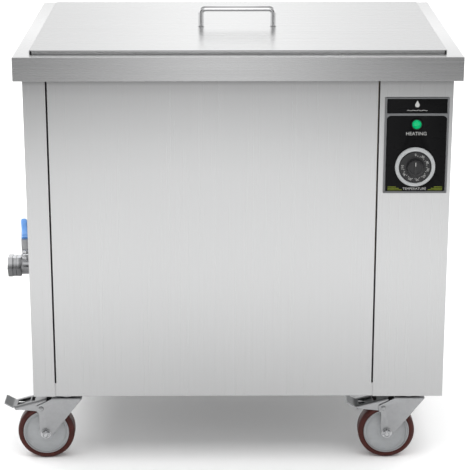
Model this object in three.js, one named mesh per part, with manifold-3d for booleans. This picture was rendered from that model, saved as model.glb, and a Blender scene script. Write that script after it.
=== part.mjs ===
// Heated parts washer tank on casters: a stainless cabinet round a flanged wash tank, with a
// lift-off lid, a thermostat panel, a drain ball valve and four swivel casters.
// Millimetres. +Z is up, +X is the operator's right, the front faces -Y, the floor is z = 0.
import * as THREE from "three";
import { mergeVertices } from "three/addons/utils/BufferGeometryUtils.js";
import Module from "manifold-3d";

const wasm = await Module();
wasm.setup();

// ---------------------------------------------------------------- driving dimensions
const GAP = 0.3; // clearance between pieces that touch
const SHEET = 1.5; // cabinet, rim and lid sheet
const RIM = { width: 740, depth: 540, height: 40, top: 730, overhang: 14 };
const CABINET = {
  halfWidth: RIM.width / 2 - RIM.overhang,
  halfDepth: RIM.depth / 2 - RIM.overhang,
  bottom: 128,
  top: RIM.top - SHEET - GAP,
};
const TRAY_UPSTAND = 25; // height of the base tray's edge
const PILLAR = { left: 37.5, right: 121.3, seam: 3, hem: 20 };
const TANK = { width: 620, depth: 420, height: 400, wall: 2, corner: 20, flange: 18 };
const LID = { width: 690, depth: 484, top: 736, lip: 5.7 };
const HANDLE = { legSpacing: 128, barRadius: 4.75, bendRadius: 6, top: 772, y: -18 };
const PANEL = { x0: 243, x1: 350, z0: 496, z1: 660, thickness: 2.7 };
const LAMP = { x: 296.2, z: 615, barrelRadius: 8, lensRadius: 9.3 };
const DIAL = { x: 295.7, z: 542, bezelRadius: 33.5, knobRadius: 26.5, shaftRadius: 3 };
const VALVE = { x: -391, z: 285, halfLength: 33, hexAcross: 35.5, pipeRadius: 16.5 };
const LEVER = { width: 16, thickness: 2.5, reach: 12, riser: 15.6, gripRun: 64.4, gripRise: 22 };
const LEVER_SPLAY = 8; // degrees: the closed lever leans away from the cabinet
const DRAIN_X = -280; // centre of the tank's drain hole
const GLAND = { x: 280, z: 190, radius: 10 };
const CASTER = { x: 301, y: 215, plate: [60, 60, 4], trail: 38 };
const WHEEL = { radius: 50, hubRadius: 40, halfWidth: 16, facets: 28, axleRadius: 4 };
const FORK = { inner: 20.2, outer: 22.7, back: -26, front: 27, crownTop: 117 };
const PEDAL = { pivotX: -45, pivotZ: 97, halfWidth: 19.5, sheet: 2 };

// The origin lies under the middle of the bounding box: the drain valve stands out on the left.
const LEFT_REACH = -VALVE.x + VALVE.halfLength;
const ORIGIN_SHIFT = (LEFT_REACH - RIM.width / 2) / 2;

// ---------------------------------------------------------------- materials
const FINISHES = {
  brushedSteel: [0xc9cbcc, 0.35, 0.95],
  zincSteel: [0xb4b7b9, 0.4, 0.9],
  polishedSteel: [0xdfe1e2, 0.15, 1.0],
  greyPlastic: [0xa9adb0, 0.5, 0.0],
  blackPlastic: [0x101012, 0.35, 0.0],
  greenLens: [0x14a862, 0.2, 0.0],
  blueVinyl: [0x5a8fd4, 0.45, 0.0],
  brownTyre: [0x4a1f18, 0.45, 0.0],
  mineralWool: [0xb9a878, 0.95, 0.0],
  siliconePad: [0xb0441f, 0.7, 0.0],
  brass: [0xb08d4a, 0.35, 0.9],
  paleNylon: [0xd8d4c8, 0.6, 0.0],
};

// Everything is made about the middle of the cabinet, then moved so that the origin is right.
const washer = new THREE.Group();
washer.position.x = ORIGIN_SHIFT;
const assembly = new THREE.Group();
assembly.add(washer);

// ---------------------------------------------------------------- solids
function toSolid(geometry) {
  const bare = geometry.clone();
  bare.deleteAttribute("normal");
  bare.deleteAttribute("uv");
  const merged = mergeVertices(bare, 1e-4);
  return new wasm.Manifold(
    new wasm.Mesh({
      numProp: 3,
      vertProperties: new Float32Array(merged.attributes.position.array),
      triVerts: new Uint32Array(merged.index.array),
    }),
  );
}

function toGeometry(solid) {
  const mesh = solid.getMesh();
  const geometry = new THREE.BufferGeometry();
  geometry.setAttribute("position", new THREE.BufferAttribute(mesh.vertProperties, 3));
  geometry.setIndex(new THREE.BufferAttribute(mesh.triVerts, 1));
  geometry.computeVertexNormals();
  return geometry;
}

const join = (first, ...rest) => rest.reduce((a, b) => a.add(b), first);
const cut = (first, ...rest) => rest.reduce((a, b) => a.subtract(b), first);

// A box from its lowest to its highest corner.
function block([x0, y0, z0], [x1, y1, z1]) {
  const box = new THREE.BoxGeometry(x1 - x0, y1 - y0, z1 - z0);
  return toSolid(box.translate((x0 + x1) / 2, (y0 + y1) / 2, (z0 + z1) / 2));
}

// Turns a shape made along +Y so that it runs along the named axis.
function along(geometry, axis) {
  if (axis === "x") return geometry.rotateZ(-Math.PI / 2);
  if (axis === "z") return geometry.rotateX(Math.PI / 2);
  return geometry;
}

// A round or hexagonal bar from `from` to `to` along an axis, through the point (x, y, z).
function bar(axis, radius, from, to, [x, y, z] = [0, 0, 0], sides = 16, turn = 0) {
  const shape = new THREE.CylinderGeometry(radius, radius, to - from, sides);
  shape.rotateY(turn).translate(0, (from + to) / 2, 0);
  return toSolid(along(shape, axis).translate(x, y, z));
}

// A hexagon bar of the given width across flats.
const hexBar = (axis, across, from, to, at, turn = 0) =>
  bar(axis, across / Math.sqrt(3), from, to, at, 6, turn);

// A turned shape: pairs of [radius, height] that start and end on the axis, or close on themselves.
function turned(profile, sides = 24, axis = "y", phase = 0) {
  const points = profile.map(([r, h]) => new THREE.Vector2(r, h));
  if (THREE.ShapeUtils.area(points) < 0) points.reverse();
  return toSolid(along(new THREE.LatheGeometry(points, sides, phase), axis));
}

// An outline in the XY plane raised from z0 to z1.
function prism(outline, z0, z1) {
  const shape = outline instanceof THREE.Shape ? outline : new THREE.Shape(vectors(outline));
  const options = { depth: z1 - z0, bevelEnabled: false, curveSegments: 3 };
  return toSolid(new THREE.ExtrudeGeometry(shape, options).translate(0, 0, z0));
}

// An outline in the XZ plane drawn out along Y from y0 to y1.
function sidePrism(outline, y0, y1) {
  const shape = outline instanceof THREE.Shape ? outline : new THREE.Shape(vectors(outline));
  const options = { depth: y1 - y0, bevelEnabled: false, curveSegments: 3 };
  const geometry = new THREE.ExtrudeGeometry(shape, options);
  return toSolid(geometry.rotateX(Math.PI / 2).translate(0, y1, 0));
}

const vectors = (pairs) => pairs.map(([x, y]) => new THREE.Vector2(x, y));

// The closed outline of a sheet folded along a path, its thickness laid to the right of the path.
function foldedSheet(path, thickness) {
  const points = vectors(path);
  const inner = points.map((point, i) => {
    const before = points[i].clone().sub(points[Math.max(i - 1, 0)]).normalize();
    const after = points[Math.min(i + 1, points.length - 1)].clone().sub(point).normalize();
    const sides = [before, after].filter((d) => d.length() > 0);
    const normals = sides.map((d) => new THREE.Vector2(d.y, -d.x));
    const sum = normals.reduce((a, b) => a.add(b), new THREE.Vector2());
    const mitre = sum.normalize();
    const across = new THREE.Vector2(sides[0].y, -sides[0].x);
    return point.clone().addScaledVector(mitre, thickness / mitre.dot(across));
  });
  return [...points, ...inner.reverse()].map((p) => [p.x, p.y]);
}

// A rectangle about the origin with round corners.
function roundedRectangle(width, depth, radius) {
  const [a, b] = [width / 2 - radius, depth / 2 - radius];
  const shape = new THREE.Shape();
  [[a, b], [-a, b], [-a, -b], [a, -b]].forEach(([x, y], corner) => {
    const start = (corner * Math.PI) / 2;
    shape.absarc(x, y, radius, start, start + Math.PI / 2, false);
  });
  return shape;
}

// A tube or bar along a curve.
function swept(curve, radius, steps, sides, boreRadius = 0) {
  const ring = (r) => new THREE.Shape().absarc(0, 0, r, 0, 2 * Math.PI, false);
  const shape = ring(radius);
  if (boreRadius) shape.holes.push(ring(boreRadius));
  const options = { steps, curveSegments: sides / 2, extrudePath: curve };
  return toSolid(new THREE.ExtrudeGeometry(shape, options));
}

// A run of straight lines through the points, with round bends of the given radius.
function bentPath(points, bend) {
  const path = new THREE.CurvePath();
  const corners = points.map((p) => new THREE.Vector3(...p));
  let start = corners[0];
  for (let i = 1; i < corners.length - 1; i++) {
    const inward = corners[i - 1].clone().sub(corners[i]).setLength(bend).add(corners[i]);
    const outward = corners[i + 1].clone().sub(corners[i]).setLength(bend).add(corners[i]);
    path.add(new THREE.LineCurve3(start, inward));
    path.add(new THREE.QuadraticBezierCurve3(inward, corners[i], outward));
    start = outward;
  }
  path.add(new THREE.LineCurve3(start, corners.at(-1)));
  return path;
}

// ---------------------------------------------------------------- mesh making
function addMesh(parent, name, solid, finish) {
  const [color, roughness, metalness] = FINISHES[finish];
  const material = new THREE.MeshStandardMaterial({ color, roughness, metalness });
  const mesh = new THREE.Mesh(toGeometry(solid), material);
  mesh.name = name;
  parent.add(mesh);
  return mesh;
}

// ---------------------------------------------------------------- cabinet
// The folded edges of the panels stop above the base tray.
function traySpace() {
  const [x, y] = [CABINET.halfWidth - SHEET - GAP / 2, CABINET.halfDepth - SHEET - GAP / 2];
  return block([-x, -y, 0], [x, y, CABINET.bottom + TRAY_UPSTAND + GAP]);
}

function panelFromPath(path, bottom = CABINET.bottom) {
  return cut(prism(foldedSheet(path, SHEET), bottom, CABINET.top), traySpace());
}

function makeBasePlate() {
  const [x, y] = [CABINET.halfWidth - SHEET - GAP, CABINET.halfDepth - SHEET - GAP];
  const [z, floor, edge] = [CABINET.bottom, 3, 2];
  return cut(
    block([-x, -y, z], [x, y, z + TRAY_UPSTAND]),
    block([-x + edge, -y + edge, z + floor], [x - edge, y - edge, z + TRAY_UPSTAND + 1]),
  );
}

function makeLeftPanel() {
  const { halfWidth: w, halfDepth: d } = CABINET;
  const seam = -w + PILLAR.left;
  const back = d - SHEET - GAP;
  const path = [[seam, -d + PILLAR.hem], [seam, -d], [-w, -d], [-w, back], [-w + 20, back]];
  const drainHole = bar("x", VALVE.pipeRadius + 0.7, -w - 5, -w + 5, [0, 0, VALVE.z], 20);
  return cut(panelFromPath(path), drainHole);
}

function makeRightPanel() {
  const { halfWidth: w, halfDepth: d } = CABINET;
  const seam = w - PILLAR.right;
  const back = d - SHEET - GAP;
  const path = [[w - 20, back], [w, back], [w, -d], [seam, -d], [seam, -d + PILLAR.hem]];
  const holes = [
    bar("y", LAMP.barrelRadius + 0.5, -d - 5, -d + 5, [LAMP.x, 0, LAMP.z]),
    bar("y", 7.2, -d - 5, -d + 5, [DIAL.x, 0, DIAL.z]),
  ];
  return cut(panelFromPath(path), ...holes);
}

function makeFrontPanel() {
  const { halfWidth: w, halfDepth: d, bottom } = CABINET;
  const [left, right] = [-w + PILLAR.left + PILLAR.seam, w - PILLAR.right - PILLAR.seam];
  const hem = -d + PILLAR.hem;
  return panelFromPath([[right, hem], [right, -d], [left, -d], [left, hem]], bottom + 2);
}

// The rear panel has two rows of upright cooling slots and a round hole for the cable gland.
function makeRearPanel() {
  const [w, d] = [CABINET.halfWidth - GAP, CABINET.halfDepth];
  let panel = block([-w, d - SHEET, CABINET.bottom], [w, d, CABINET.top]);
  for (const z of [190, 560])
    for (let i = -4; i <= 4; i++)
      panel = cut(panel, block([i * 22 - 3, d - 5, z], [i * 22 + 3, d + 5, z + 70]));
  return cut(panel, bar("y", GLAND.radius + 0.4, d - 5, d + 5, [GLAND.x, 0, GLAND.z]));
}

// The rim: a flat flange round the tank's mouth, a skirt outside and a return lip under it.
function makeTopRim() {
  const [x, y, z] = [RIM.width / 2, RIM.depth / 2, RIM.top];
  const bottom = z - RIM.height;
  const hollow = block([-x + SHEET, -y + SHEET, bottom + SHEET], [x - SHEET, y - SHEET, z - SHEET]);
  const [cx, cy] = [CABINET.halfWidth + GAP, CABINET.halfDepth + GAP];
  const cabinetMouth = block([-cx, -cy, bottom - 1], [cx, cy, bottom + SHEET + 1]);
  const tankMouth = prism(roundedRectangle(TANK.width, TANK.depth, TANK.corner), z - 5, z + 1);
  return cut(block([-x, -y, bottom], [x, y, z]), hollow, cabinetMouth, tankMouth);
}

// ---------------------------------------------------------------- tank and its fittings
const TANK_TOP = RIM.top - SHEET - GAP;
const TANK_FLOOR = RIM.top - TANK.height;
const JACKET = { clearance: 4, thickness: 15, bottom: 345, top: 700 };

const tankPrism = (grow, z0, z1) =>
  prism(
    roundedRectangle(TANK.width + 2 * grow, TANK.depth + 2 * grow, TANK.corner + grow),
    z0,
    z1,
  );

function makeInnerTank() {
  const shell = tankPrism(TANK.wall, TANK_FLOOR - TANK.wall, TANK_TOP);
  const flange = tankPrism(TANK.flange, TANK_TOP - TANK.wall, TANK_TOP);
  const inside = tankPrism(0, TANK_FLOOR, TANK_TOP + 1);
  const drainHole = bar("z", 14, TANK_FLOOR - 10, TANK_FLOOR + 10, [DRAIN_X, 0, 0]);
  return cut(join(shell, flange), inside, drainHole);
}

// Mineral wool round the tank, with a window behind the thermostat.
function makeInsulation() {
  const inner = TANK.wall + JACKET.clearance;
  const { bottom, top } = JACKET;
  const window = block([DIAL.x - 27, -TANK.depth, DIAL.z - 27], [DIAL.x + 27, 0, DIAL.z + 27]);
  return cut(
    tankPrism(inner + JACKET.thickness, bottom, top),
    tankPrism(inner, bottom - 1, top + 1),
    window,
  );
}

// A perforated plate on two folded legs, which keeps parts off the tank floor.
function makePartsRestPlate() {
  const [length, half, top] = [590, 196, 348];
  const foot = TANK_FLOOR + GAP;
  const path = [[-half, foot], [-half, top], [half, top], [half, foot]];
  const profile = new THREE.Shape(vectors(foldedSheet(path, TANK.wall)));
  const geometry = new THREE.ExtrudeGeometry(profile, { depth: length, bevelEnabled: false });
  geometry.rotateX(Math.PI / 2).rotateZ(Math.PI / 2).translate(-length / 2, 0, 0);
  let plate = toSolid(geometry);
  for (const x of [-225, -135, -45, 45, 135, 225])
    for (const y of [-120, -40, 40, 120]) plate = cut(plate, bar("z", 14, 340, 355, [x, y, 0], 8));
  return plate;
}

function makeStrainer() {
  const profile = [[0, 0], [22, 0], [22, 2], [15, 8], [0, 8]];
  let strainer = turned(profile, 16, "z");
  for (let i = 0; i < 3; i++) {
    const slot = toSolid(new THREE.BoxGeometry(24, 3, 5).rotateZ((i * Math.PI) / 3));
    strainer = cut(strainer, slot.translate(0, 0, 7.5));
  }
  return strainer.translate(DRAIN_X, 0, TANK_FLOOR + GAP);
}

function makeHeaterPad(side) {
  const near = TANK.depth / 2 + TANK.wall + GAP;
  const [y0, y1] = [near, near + 3].map((y) => side * y).sort((a, b) => a - b);
  return block([-250, y0, 360], [220, y1, 500]);
}

// ---------------------------------------------------------------- lid
function makeLidPanel() {
  const [x, y] = [LID.width / 2, LID.depth / 2];
  const [top, under] = [LID.top, LID.top - LID.lip];
  const shell = cut(
    block([-x, -y, under], [x, y, top]),
    block([-x + SHEET, -y + SHEET, under - 1], [x - SHEET, y - SHEET, top - SHEET]),
  );
  // Straight strips inside the tank's mouth keep the lid in place.
  const [mx, my, depth] = [TANK.width / 2 - 3, TANK.depth / 2 - 3, 8];
  const [z0, z1] = [RIM.top - depth, top - SHEET / 2];
  const strips = [-1, 1].flatMap((side) => [
    block([-240, side * my - SHEET / 2, z0], [240, side * my + SHEET / 2, z1]),
    block([side * mx - SHEET / 2, -150, z0], [side * mx + SHEET / 2, 150, z1]),
  ]);
  return join(shell, ...strips);
}

function makeLidHandle() {
  const [x, y, foot] = [HANDLE.legSpacing / 2, HANDLE.y, LID.top + GAP];
  const top = HANDLE.top - HANDLE.barRadius;
  const path = bentPath([[-x, y, foot], [-x, y, top], [x, y, top], [x, y, foot]], HANDLE.bendRadius);
  return swept(path, HANDLE.barRadius, 36, 10);
}

// ---------------------------------------------------------------- control panel
const FACE = -CABINET.halfDepth; // y of the cabinet's front face
const FASCIA_FRONT = FACE - 2;
const WINDOW = { side: 3.4, top: 2, bottom: 3.6 };

function makeControlFrame() {
  const { x0, x1, z0, z1, thickness } = PANEL;
  return cut(
    block([x0, FACE - GAP - thickness, z0], [x1, FACE - GAP, z1]),
    block(
      [x0 + WINDOW.side, FACE - 10, z0 + WINDOW.bottom],
      [x1 - WINDOW.side, FACE + 1, z1 - WINDOW.top],
    ),
  );
}

function makeFascia() {
  const { x0, x1, z0, z1 } = PANEL;
  return cut(
    block(
      [x0 + WINDOW.side + GAP, FASCIA_FRONT, z0 + WINDOW.bottom + GAP],
      [x1 - WINDOW.side - GAP, FACE - GAP, z1 - WINDOW.top - GAP],
    ),
    bar("y", LAMP.barrelRadius + 0.5, FACE - 5, FACE + 5, [LAMP.x, 0, LAMP.z]),
    bar("y", 7.2, FACE - 5, FACE + 5, [DIAL.x, 0, DIAL.z]),
  );
}

function makeLampBody() {
  const at = [LAMP.x, 0, LAMP.z];
  const barrel = bar("y", LAMP.barrelRadius, FASCIA_FRONT, FACE + 20, at);
  const nut = hexBar("y", 19, FACE + SHEET + GAP, FACE + SHEET + 5, at);
  return join(barrel, nut);
}

function makeLampLens() {
  const r = LAMP.lensRadius;
  const profile = [[0, 0], [r, 0], [r, 1.5], [r * 0.85, 4], [r * 0.5, 5.6], [0, 6.2]];
  const lens = turned(profile, 20, "y").rotate([180, 0, 0]);
  return lens.translate(LAMP.x, FASCIA_FRONT - GAP, LAMP.z);
}

function makeThermostat() {
  const [x, z, half] = [DIAL.x, DIAL.z, 22];
  const back = FACE + SHEET + GAP;
  return cut(
    join(
      block([x - half, back, z - half], [x + half, back + 34, z + half]),
      bar("y", 6.6, FASCIA_FRONT, back + 1, [x, 0, z]),
    ),
    bar("y", DIAL.shaftRadius + 0.6, FACE - 10, FACE + 20, [x, 0, z]),
  );
}

// The sensing bulb under the tank and its capillary, one bent tube with a thick end.
function makeThermostatProbe() {
  const route = [
    [DIAL.x + 8, -238, DIAL.z - 22 - GAP],
    [DIAL.x + 8, -242, 470],
    [DIAL.x - 2, -243, 400],
    [DIAL.x - 12, -240, 330],
    [265, -215, 318],
    [230, -165, 324],
    [200, -118, 324.5],
  ];
  const curve = new THREE.CatmullRomCurve3(route.map((p) => new THREE.Vector3(...p)));
  return join(swept(curve, 1.4, 36, 6), bar("y", 3, -125, -40, [200, 0, 324.5], 10));
}

function makeDialBezel() {
  const [r0, r1, h] = [DIAL.knobRadius + 0.8, DIAL.bezelRadius, 4.5];
  const profile = [[r0, 0], [r1, 0], [r1, h - 2.5], [r1 - 2, h], [r0, h], [r0, 0]];
  const ring = turned(profile, 32, "y").rotate([180, 0, 0]);
  return ring.translate(DIAL.x, FASCIA_FRONT - GAP, DIAL.z);
}

// A round knob: a wide skirt that carries the scale, and a smaller grip in front of it.
function makeKnob() {
  const profile = [[0, 0], [DIAL.knobRadius, 0], [DIAL.knobRadius, 4], [16, 5.5], [15, 11], [0, 11]];
  const knob = turned(profile, 32, "y").rotate([180, 0, 0]);
  const socket = bar("y", DIAL.shaftRadius + GAP, -6, 1, [0, 0, 0], 12);
  return cut(knob, socket).translate(DIAL.x, FASCIA_FRONT - GAP, DIAL.z);
}

function makeKnobShaft() {
  return bar("y", DIAL.shaftRadius, FASCIA_FRONT - 5.5, FACE + 18, [DIAL.x, 0, DIAL.z], 12);
}

// ---------------------------------------------------------------- electrics on the base tray
function makeContactor() {
  const z = CABINET.bottom + 3 + GAP;
  return join(
    block([170, 130, z], [215, 200, z + 55]),
    block([176, 142, z + 50], [209, 188, z + 75]),
  );
}

function makeTerminalBlock() {
  const z = CABINET.bottom + 3 + GAP;
  const rail = block([90, 145, z], [150, 185, z + 6]);
  const ways = [0, 1, 2, 3, 4].map((i) => block([93 + i * 11, 150, z + 5], [102 + i * 11, 180, z + 32]));
  return join(rail, ...ways);
}

function makeCableGland() {
  const face = CABINET.halfDepth;
  const at = [GLAND.x, 0, GLAND.z];
  return cut(
    join(
      bar("y", GLAND.radius, face - SHEET - 8, face + GAP, at),
      hexBar("y", 24, face + GAP, face + 6, at),
      bar("y", 9, face + 5, face + 13, at),
    ),
    bar("y", 4, face + 10, face + 20, at, 12),
  );
}

// ---------------------------------------------------------------- drain
const WALL = -CABINET.halfWidth; // x of the left side's outer face
const DRAIN_BEND = 26;

function makeDrainElbow() {
  const mouth = WALL + 22;
  const top = TANK_FLOOR - TANK.wall - GAP;
  const path = bentPath([[mouth, 0, VALVE.z], [DRAIN_X, 0, VALVE.z], [DRAIN_X, 0, top]], DRAIN_BEND);
  return swept(path, VALVE.pipeRadius, 14, 14, VALVE.pipeRadius - 4);
}

function makeDrainNipple() {
  const [from, to] = [VALVE.x + VALVE.halfLength - 9, WALL + 22 - GAP];
  const at = [0, 0, VALVE.z];
  return cut(
    bar("x", VALVE.pipeRadius, from, to, at),
    bar("x", VALVE.pipeRadius - 4, from - 1, to + 1, at),
  );
}

function makeDrainLocknut() {
  const at = [0, 0, VALVE.z];
  const [from, to] = [WALL + SHEET + GAP, WALL + SHEET + 9];
  return cut(
    hexBar("x", 44, from, to, at),
    bar("x", VALVE.pipeRadius + 0.5, from - 1, to + 1, at, 20),
  );
}

// The valve is made about the point where its stem crosses the pipe's axis.
const BALL_RADIUS = 14.8;
const NECK_TOP = 19;
const CAP_END = -17; // where the end cap meets the body
const HEX_FLAT_UP = Math.PI / 6;

// The outlet: a hexagon cap with a collar, screwed into the body.
function makeValveEndCap() {
  const centre = [0, 0, 0];
  return cut(
    join(
      hexBar("x", VALVE.hexAcross + 2, -VALVE.halfLength, CAP_END - 7, centre, HEX_FLAT_UP),
      hexBar("x", VALVE.hexAcross, CAP_END - 8, CAP_END - GAP, centre, HEX_FLAT_UP),
    ),
    bar("x", 13.5, -40, 0, centre, 20),
  );
}

function makeValveBody() {
  const inlet = VALVE.halfLength - GAP;
  const centre = [0, 0, 0];
  const outside = join(
    hexBar("x", VALVE.hexAcross, CAP_END, -8, centre, HEX_FLAT_UP),
    bar("x", 17, -9, 14, centre, 20),
    bar("x", 19, 13, inlet, centre, 20),
    bar("z", 9, 0, NECK_TOP),
  );
  return cut(
    outside,
    bar("x", 10, -40, 40, centre, 16),
    bar("x", VALVE.pipeRadius + 0.4, inlet - 10, 40, centre, 20),
    toSolid(new THREE.SphereGeometry(BALL_RADIUS + 1, 20, 12)),
    bar("z", 5, 0, 30, [0, 0, 0], 12),
  );
}

// The ball is bored at a right angle to its lever, so it is shut when the lever lies along the wall.
function makeValveBall() {
  const ball = toSolid(new THREE.SphereGeometry(BALL_RADIUS, 16, 10));
  return cut(ball, bar("y", 9.5, -20, 20, [0, 0, 0], 12));
}

const LEVER_Z = NECK_TOP + GAP + 2.5 + GAP;

const makeValveStem = () => bar("z", 4, BALL_RADIUS + GAP, LEVER_Z + 8, [0, 0, 0], 12);

function makeGlandNut() {
  const [from, to] = [NECK_TOP + GAP, LEVER_Z - GAP];
  return cut(hexBar("z", 17, from, to), bar("z", 5, from - 1, to + 1, [0, 0, 0], 12));
}

function makeLeverNut() {
  const from = LEVER_Z + LEVER.thickness + GAP;
  return cut(hexBar("z", 12.5, from, from + 5), bar("z", 4.4, from - 1, from + 6, [0, 0, 0], 12));
}

// The lever's centre line in its own plane: out from the stem, up the riser, along the grip.
const LEVER_KNEE = [LEVER.reach + LEVER.riser, LEVER.riser];
const LEVER_END = [LEVER_KNEE[0] + LEVER.gripRun, LEVER_KNEE[1] + LEVER.gripRise];
const LEVER_SLOPE = Math.atan2(LEVER.gripRise, LEVER.gripRun);

function makeValveLever() {
  const path = [LEVER_END, LEVER_KNEE, [LEVER.reach, 0], [-8, 0]];
  const profile = new THREE.Shape(vectors(foldedSheet(path, LEVER.thickness)));
  const options = { depth: LEVER.width, bevelEnabled: false };
  const geometry = new THREE.ExtrudeGeometry(profile, options);
  geometry.rotateX(Math.PI / 2).rotateZ(Math.PI / 2).translate(-LEVER.width / 2, 0, LEVER_Z);
  const [kneeY, kneeZ] = LEVER_KNEE;
  const shoulders = [-1, 1].map((side) => {
    const trim = new THREE.BoxGeometry(10, 90, 30).translate(side * 9.5, 49, 0);
    trim.rotateX(LEVER_SLOPE).translate(0, kneeY, kneeZ + LEVER_Z);
    return toSolid(trim);
  });
  return cut(toSolid(geometry), ...shoulders, bar("z", 4.4, -1, 60, [0, 0, 0], 12));
}

// A dipped vinyl sleeve over the lever's end, open where the lever enters it.
function makeValveGrip() {
  const [start, end] = [6, 70];
  const core = new THREE.BoxGeometry(9.8, 66, LEVER.thickness + 0.8);
  const sleeve = join(
    toSolid(new THREE.BoxGeometry(12.5, end - start, 8.5).translate(0, (start + end) / 2, 0)),
    toSolid(new THREE.BoxGeometry(14, 4, 10).translate(0, start + 2, 0)),
  );
  const centre = LEVER.thickness / 2;
  const hollow = cut(sleeve, toSolid(core.translate(0, 36, 0)));
  const [kneeY, kneeZ] = LEVER_KNEE;
  const turn = THREE.MathUtils.radToDeg(LEVER_SLOPE);
  return hollow
    .translate(0, 0, centre)
    .rotate([turn, 0, 0])
    .translate(0, kneeY, kneeZ + LEVER_Z);
}

function makeDrainValve() {
  const valve = new THREE.Group();
  valve.position.set(VALVE.x, 0, VALVE.z);
  addMesh(valve, "valve_body", makeValveBody(), "zincSteel");
  addMesh(valve, "valve_end_cap", makeValveEndCap(), "zincSteel");
  addMesh(valve, "valve_gland_nut", makeGlandNut(), "zincSteel");
  const turning = new THREE.Group();
  turning.rotation.z = THREE.MathUtils.degToRad(LEVER_SPLAY);
  addMesh(turning, "valve_ball", makeValveBall(), "polishedSteel");
  addMesh(turning, "valve_stem", makeValveStem(), "polishedSteel");
  addMesh(turning, "valve_lever", makeValveLever(), "polishedSteel");
  addMesh(turning, "valve_lever_nut", makeLeverNut(), "zincSteel");
  addMesh(turning, "valve_grip", makeValveGrip(), "blueVinyl");
  valve.add(turning);
  return valve;
}

// ---------------------------------------------------------------- casters
// Each caster is made about its swivel axis, standing on the floor, with the wheel trailing to -X.
const FACET_PHASE = Math.PI / WHEEL.facets; // puts a flat facet of the wheel on the floor
const toVertex = (flatRadius) => flatRadius / Math.cos(FACET_PHASE);
const PLATE_UNDER = CABINET.bottom - GAP - CASTER.plate[2];

function makeCasterPlate() {
  const [length, width] = CASTER.plate;
  const plate = prism(roundedRectangle(length, width, 12), PLATE_UNDER, CABINET.bottom - GAP);
  const race = bar("z", 20, FORK.crownTop + GAP, PLATE_UNDER + 1, [0, 0, 0], 24);
  const pinHead = FORK.crownTop - 3 - GAP;
  const kingpin = join(bar("z", 5, pinHead - 1, PLATE_UNDER + 1), bar("z", 9, pinHead - 7, pinHead));
  return join(plate, race, kingpin);
}

// A channel folded from one sheet: a flat crown and two legs that narrow down to the axle.
function makeFork() {
  const { inner, outer, back, front, crownTop } = FORK;
  const [axleX, axleZ] = [-CASTER.trail, WHEEL.radius];
  const leg = new THREE.Shape();
  leg.moveTo(front, crownTop - 1);
  leg.lineTo(axleX + 9, axleZ - 6);
  leg.absarc(axleX, axleZ, 10.8, -0.6, -Math.PI, true);
  leg.lineTo(axleX - 10.8, 86);
  leg.quadraticCurveTo(axleX - 11, 90, axleX - 15, 92);
  leg.lineTo(axleX - 15, 102);
  leg.lineTo(back, crownTop - 1);
  const crown = cut(
    block([back, -outer, crownTop - 3], [front, outer, crownTop]),
    bar("z", 6, 100, 120, [0, 0, 0], 12),
  );
  const legs = [-1, 1].map((side) => {
    const [y0, y1] = [side * inner, side * outer].sort((a, b) => a - b);
    return sidePrism(leg, y0, y1);
  });
  const holes = [
    bar("y", WHEEL.axleRadius + 0.4, -40, 40, [axleX, 0, axleZ], 12),
    bar("y", 3.6, -40, 40, [PEDAL.pivotX, 0, PEDAL.pivotZ], 12),
  ];
  return cut(join(crown, ...legs), ...holes);
}

function makeAxle() {
  const at = [-CASTER.trail, 0, WHEEL.radius];
  const [seat, end] = [FORK.outer + GAP, FORK.outer + 8];
  return join(
    bar("y", WHEEL.axleRadius, -end, end - 1, at, 12),
    hexBar("y", 13, -seat - 5.5, -seat, at),
    hexBar("y", 13, seat, seat + 6.5, at),
  );
}

function makeHub() {
  const rim = WHEEL.hubRadius - GAP;
  const bore = WHEEL.axleRadius + 0.7;
  const half = [[bore, 18.5], [13, 18.5], [19, 7], [33, 6], [35, 14.5], [rim, 14.5]];
  const profile = [...half, ...half.map(([r, y]) => [r, -y]).reverse(), half[0]];
  return turned(profile, 20);
}

function makeTyre() {
  const [inner, outer] = [WHEEL.hubRadius, WHEEL.radius].map(toVertex);
  const w = WHEEL.halfWidth;
  const half = [[inner, w - 1], [outer - 3, w], [outer, w - 3]];
  const profile = [...half, ...half.map(([r, y]) => [r, -y]).reverse(), half[0]];
  return turned(profile, WHEEL.facets, "y", FACET_PHASE);
}

// A folded channel over the wheel with a turned-up toe, a window and a shoe that meets the tyre.
function makeBrakePedal() {
  const { pivotX, pivotZ, halfWidth: w, sheet } = PEDAL;
  const topLine = [[-109, 108], [-92, 100], [-36, 115]];
  const top = sidePrism(foldedSheet(topLine, sheet), -w, w);
  const side = [[-91, 98.5], [-88, 95], [-50, 91], [-40, 92], [-37, 113]];
  const flanges = [-1, 1].flatMap((s) => {
    const [y0, y1] = [s * w, s * (w - sheet)].sort((a, b) => a - b);
    const [p0, p1] = [s * (w - 1), s * (FORK.outer + 1)].sort((a, b) => a - b);
    return [sidePrism(side, y0, y1), bar("y", 3, p0, p1, [pivotX, 0, pivotZ], 12)];
  });
  const shoe = sidePrism([[-74, 90.5], [-60, 100.2], [-60, 107.5], [-74, 104]], -11, 11);
  const window = block([-88, -9, 95], [-76, 9, 112]);
  return cut(join(top, ...flanges, shoe), window);
}

function makeCaster(corner, x, y, braked) {
  const caster = new THREE.Group();
  caster.position.set(x, y, 0);
  const wheel = new THREE.Group();
  wheel.position.set(-CASTER.trail, 0, WHEEL.radius);
  addMesh(caster, `${corner}_caster_plate`, makeCasterPlate(), "zincSteel");
  addMesh(caster, `${corner}_fork`, makeFork(), "zincSteel");
  addMesh(caster, `${corner}_axle_bolt`, makeAxle(), "zincSteel");
  if (braked) addMesh(caster, `${corner}_brake_pedal`, makeBrakePedal(), "zincSteel");
  addMesh(wheel, `${corner}_wheel_hub`, makeHub(), "greyPlastic");
  addMesh(wheel, `${corner}_tyre`, makeTyre(), "brownTyre");
  caster.add(wheel);
  return caster;
}

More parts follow.
